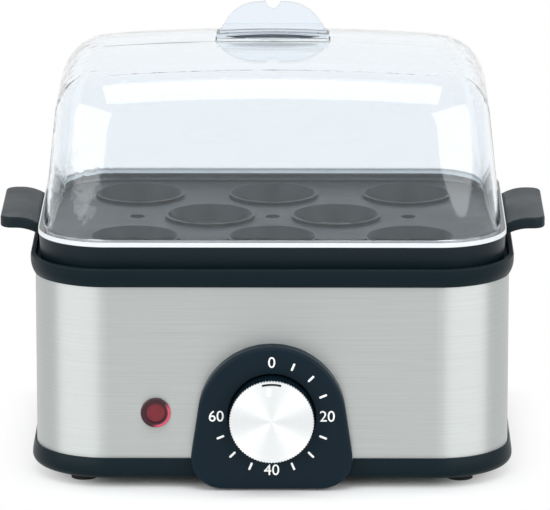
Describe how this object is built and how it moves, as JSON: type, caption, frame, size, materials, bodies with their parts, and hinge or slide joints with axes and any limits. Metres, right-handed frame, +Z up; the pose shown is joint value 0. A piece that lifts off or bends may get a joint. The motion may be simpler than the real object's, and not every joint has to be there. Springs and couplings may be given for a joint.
{
  "type": "egg boiler",
  "caption": "Household steam egg boiler: steel-sleeved base with water bowl and wind-up timer knob, black tray with round seats and side handles, and clear lid.",
  "frame": {"origin": "on the table, under the middle of the whole object's box", "axes": "+X to the user's right, +Y to the back, +Z up; the dial faces -Y"},
  "size_m": [0.231, 0.1676, 0.1916],
  "materials": {
    "foot_rubber": "matt black rubber",
    "base_black": "black plastic with a satin sheen",
    "collar_black": "black plastic with a satin sheen",
    "tray_black": "black plastic with a satin sheen",
    "dial_black": "black plastic, fine satin",
    "knob_black": "black plastic, fine satin",
    "lamp_black": "matt black plastic",
    "gland_black": "matt black plastic",
    "brushed_stainless": "stainless sheet brushed along its length",
    "screw_steel": "zinc-plated screw steel",
    "plated_steel": "plated sheet steel",
    "spring_steel": "blued spring steel",
    "turned_steel": "turned steel",
    "bell_steel": "plated bell cup",
    "bowl_aluminium": "drawn aluminium, satin",
    "cast_aluminium": "plain aluminium plate",
    "spun_aluminium": "bright aluminium spun round its middle",
    "heater_sheath": "dull heater sheath",
    "silicone": "translucent silicone",
    "thermostat_case": "brown phenolic case",
    "tinned_brass": "tinned brass",
    "gear_brass": "cut brass",
    "fuse_case": "plated fuse case",
    "fibre_sleeve": "woven glass-fibre sleeve",
    "lid_clear": "clear moulded plastic",
    "marking_white": "white inlay",
    "timer_plastic": "pale moulded plastic",
    "lens_red": "red translucent plastic",
    "bulb_glass": "clear glass",
    "block_plastic": "pale nylon",
    "wire_brown": "brown wire sleeve",
    "wire_blue": "blue wire sleeve",
    "wire_green": "green wire sleeve",
    "wire_grey": "grey wire sleeve"
  },
  "bodies": {
    "base": {"foot_pads": "foot_rubber", "base_moulding": "base_black", "sleeve_front": "brushed_stainless", "sleeve_back": "brushed_stainless", "collar": "collar_black", "tie_screws": "screw_steel", "water_bowl": "bowl_aluminium", "bowl_seal": "silicone", "bowl_clips": "plated_steel", "bowl_clip_screws": "screw_steel", "heat_spreader": "cast_aluminium", "heater_element": "heater_sheath", "heater_pins": "plated_steel", "thermostat": "thermostat_case", "thermostat_strap": "plated_steel", "strap_nuts": "screw_steel", "earth_tag": "tinned_brass", "thermal_fuse": "fuse_case", "fuse_sleeve": "fibre_sleeve", "fuse_clip": "plated_steel", "dial_plate": "dial_black", "timer_screws": "screw_steel", "timer_mainspring": "spring_steel", "timer_front_plate": "plated_steel", "timer_case": "timer_plastic", "timer_bell": "bell_steel", "timer_blades": "tinned_brass", "lamp_lens": "lens_red", "lamp_ring": "spring_steel", "neon_bulb": "bulb_glass", "lamp_cap": "lamp_black", "cord_gland": "gland_black", "terminal_block": "block_plastic", "terminal_screws": "screw_steel", "line_wire": "wire_brown", "switched_wire": "wire_brown", "thermostat_wire": "wire_brown", "fuse_wire": "wire_blue", "neutral_wire": "wire_blue", "earth_wire": "wire_green", "lamp_leads": "wire_grey", "wire_splice": "tinned_brass", "push_terminals": "tinned_brass"},
    "tray": {"seat_tray": "tray_black"},
    "lid": {"lid_shell": "lid_clear", "lid_handle": "lid_clear"},
    "knob": {"knob_barrel": "knob_black", "knob_cap": "spun_aluminium", "knob_pointer": "marking_white", "timer_shaft": "turned_steel", "timer_wheel": "gear_brass"},
    "pinion": {"timer_pinion": "turned_steel"}
  },
  "joints": [
    {"name": "tray_lift", "type": "slide", "parent": "base", "child": "tray", "axis": [0, 0, 1], "range_m": [0, 0.06]},
    {"name": "lid_lift", "type": "slide", "parent": "tray", "child": "lid", "axis": [0, 0, 1], "range_m": [0, 0.1]},
    {"name": "knob_turn", "type": "hinge", "parent": "base", "child": "knob", "pos_m": [0, 0, 0.0323], "axis": [0, 1, 0], "range_deg": [0, 270]},
    {"name": "pinion_turn", "type": "hinge", "parent": "base", "child": "pinion", "pos_m": [0, 0, 0.0188], "axis": [0, 1, 0], "range_deg": [-1080, 0]}
  ],
  "couplings": [
    {"joint": "pinion_turn", "follows": "knob_turn", "ratio": -4}
  ]
}
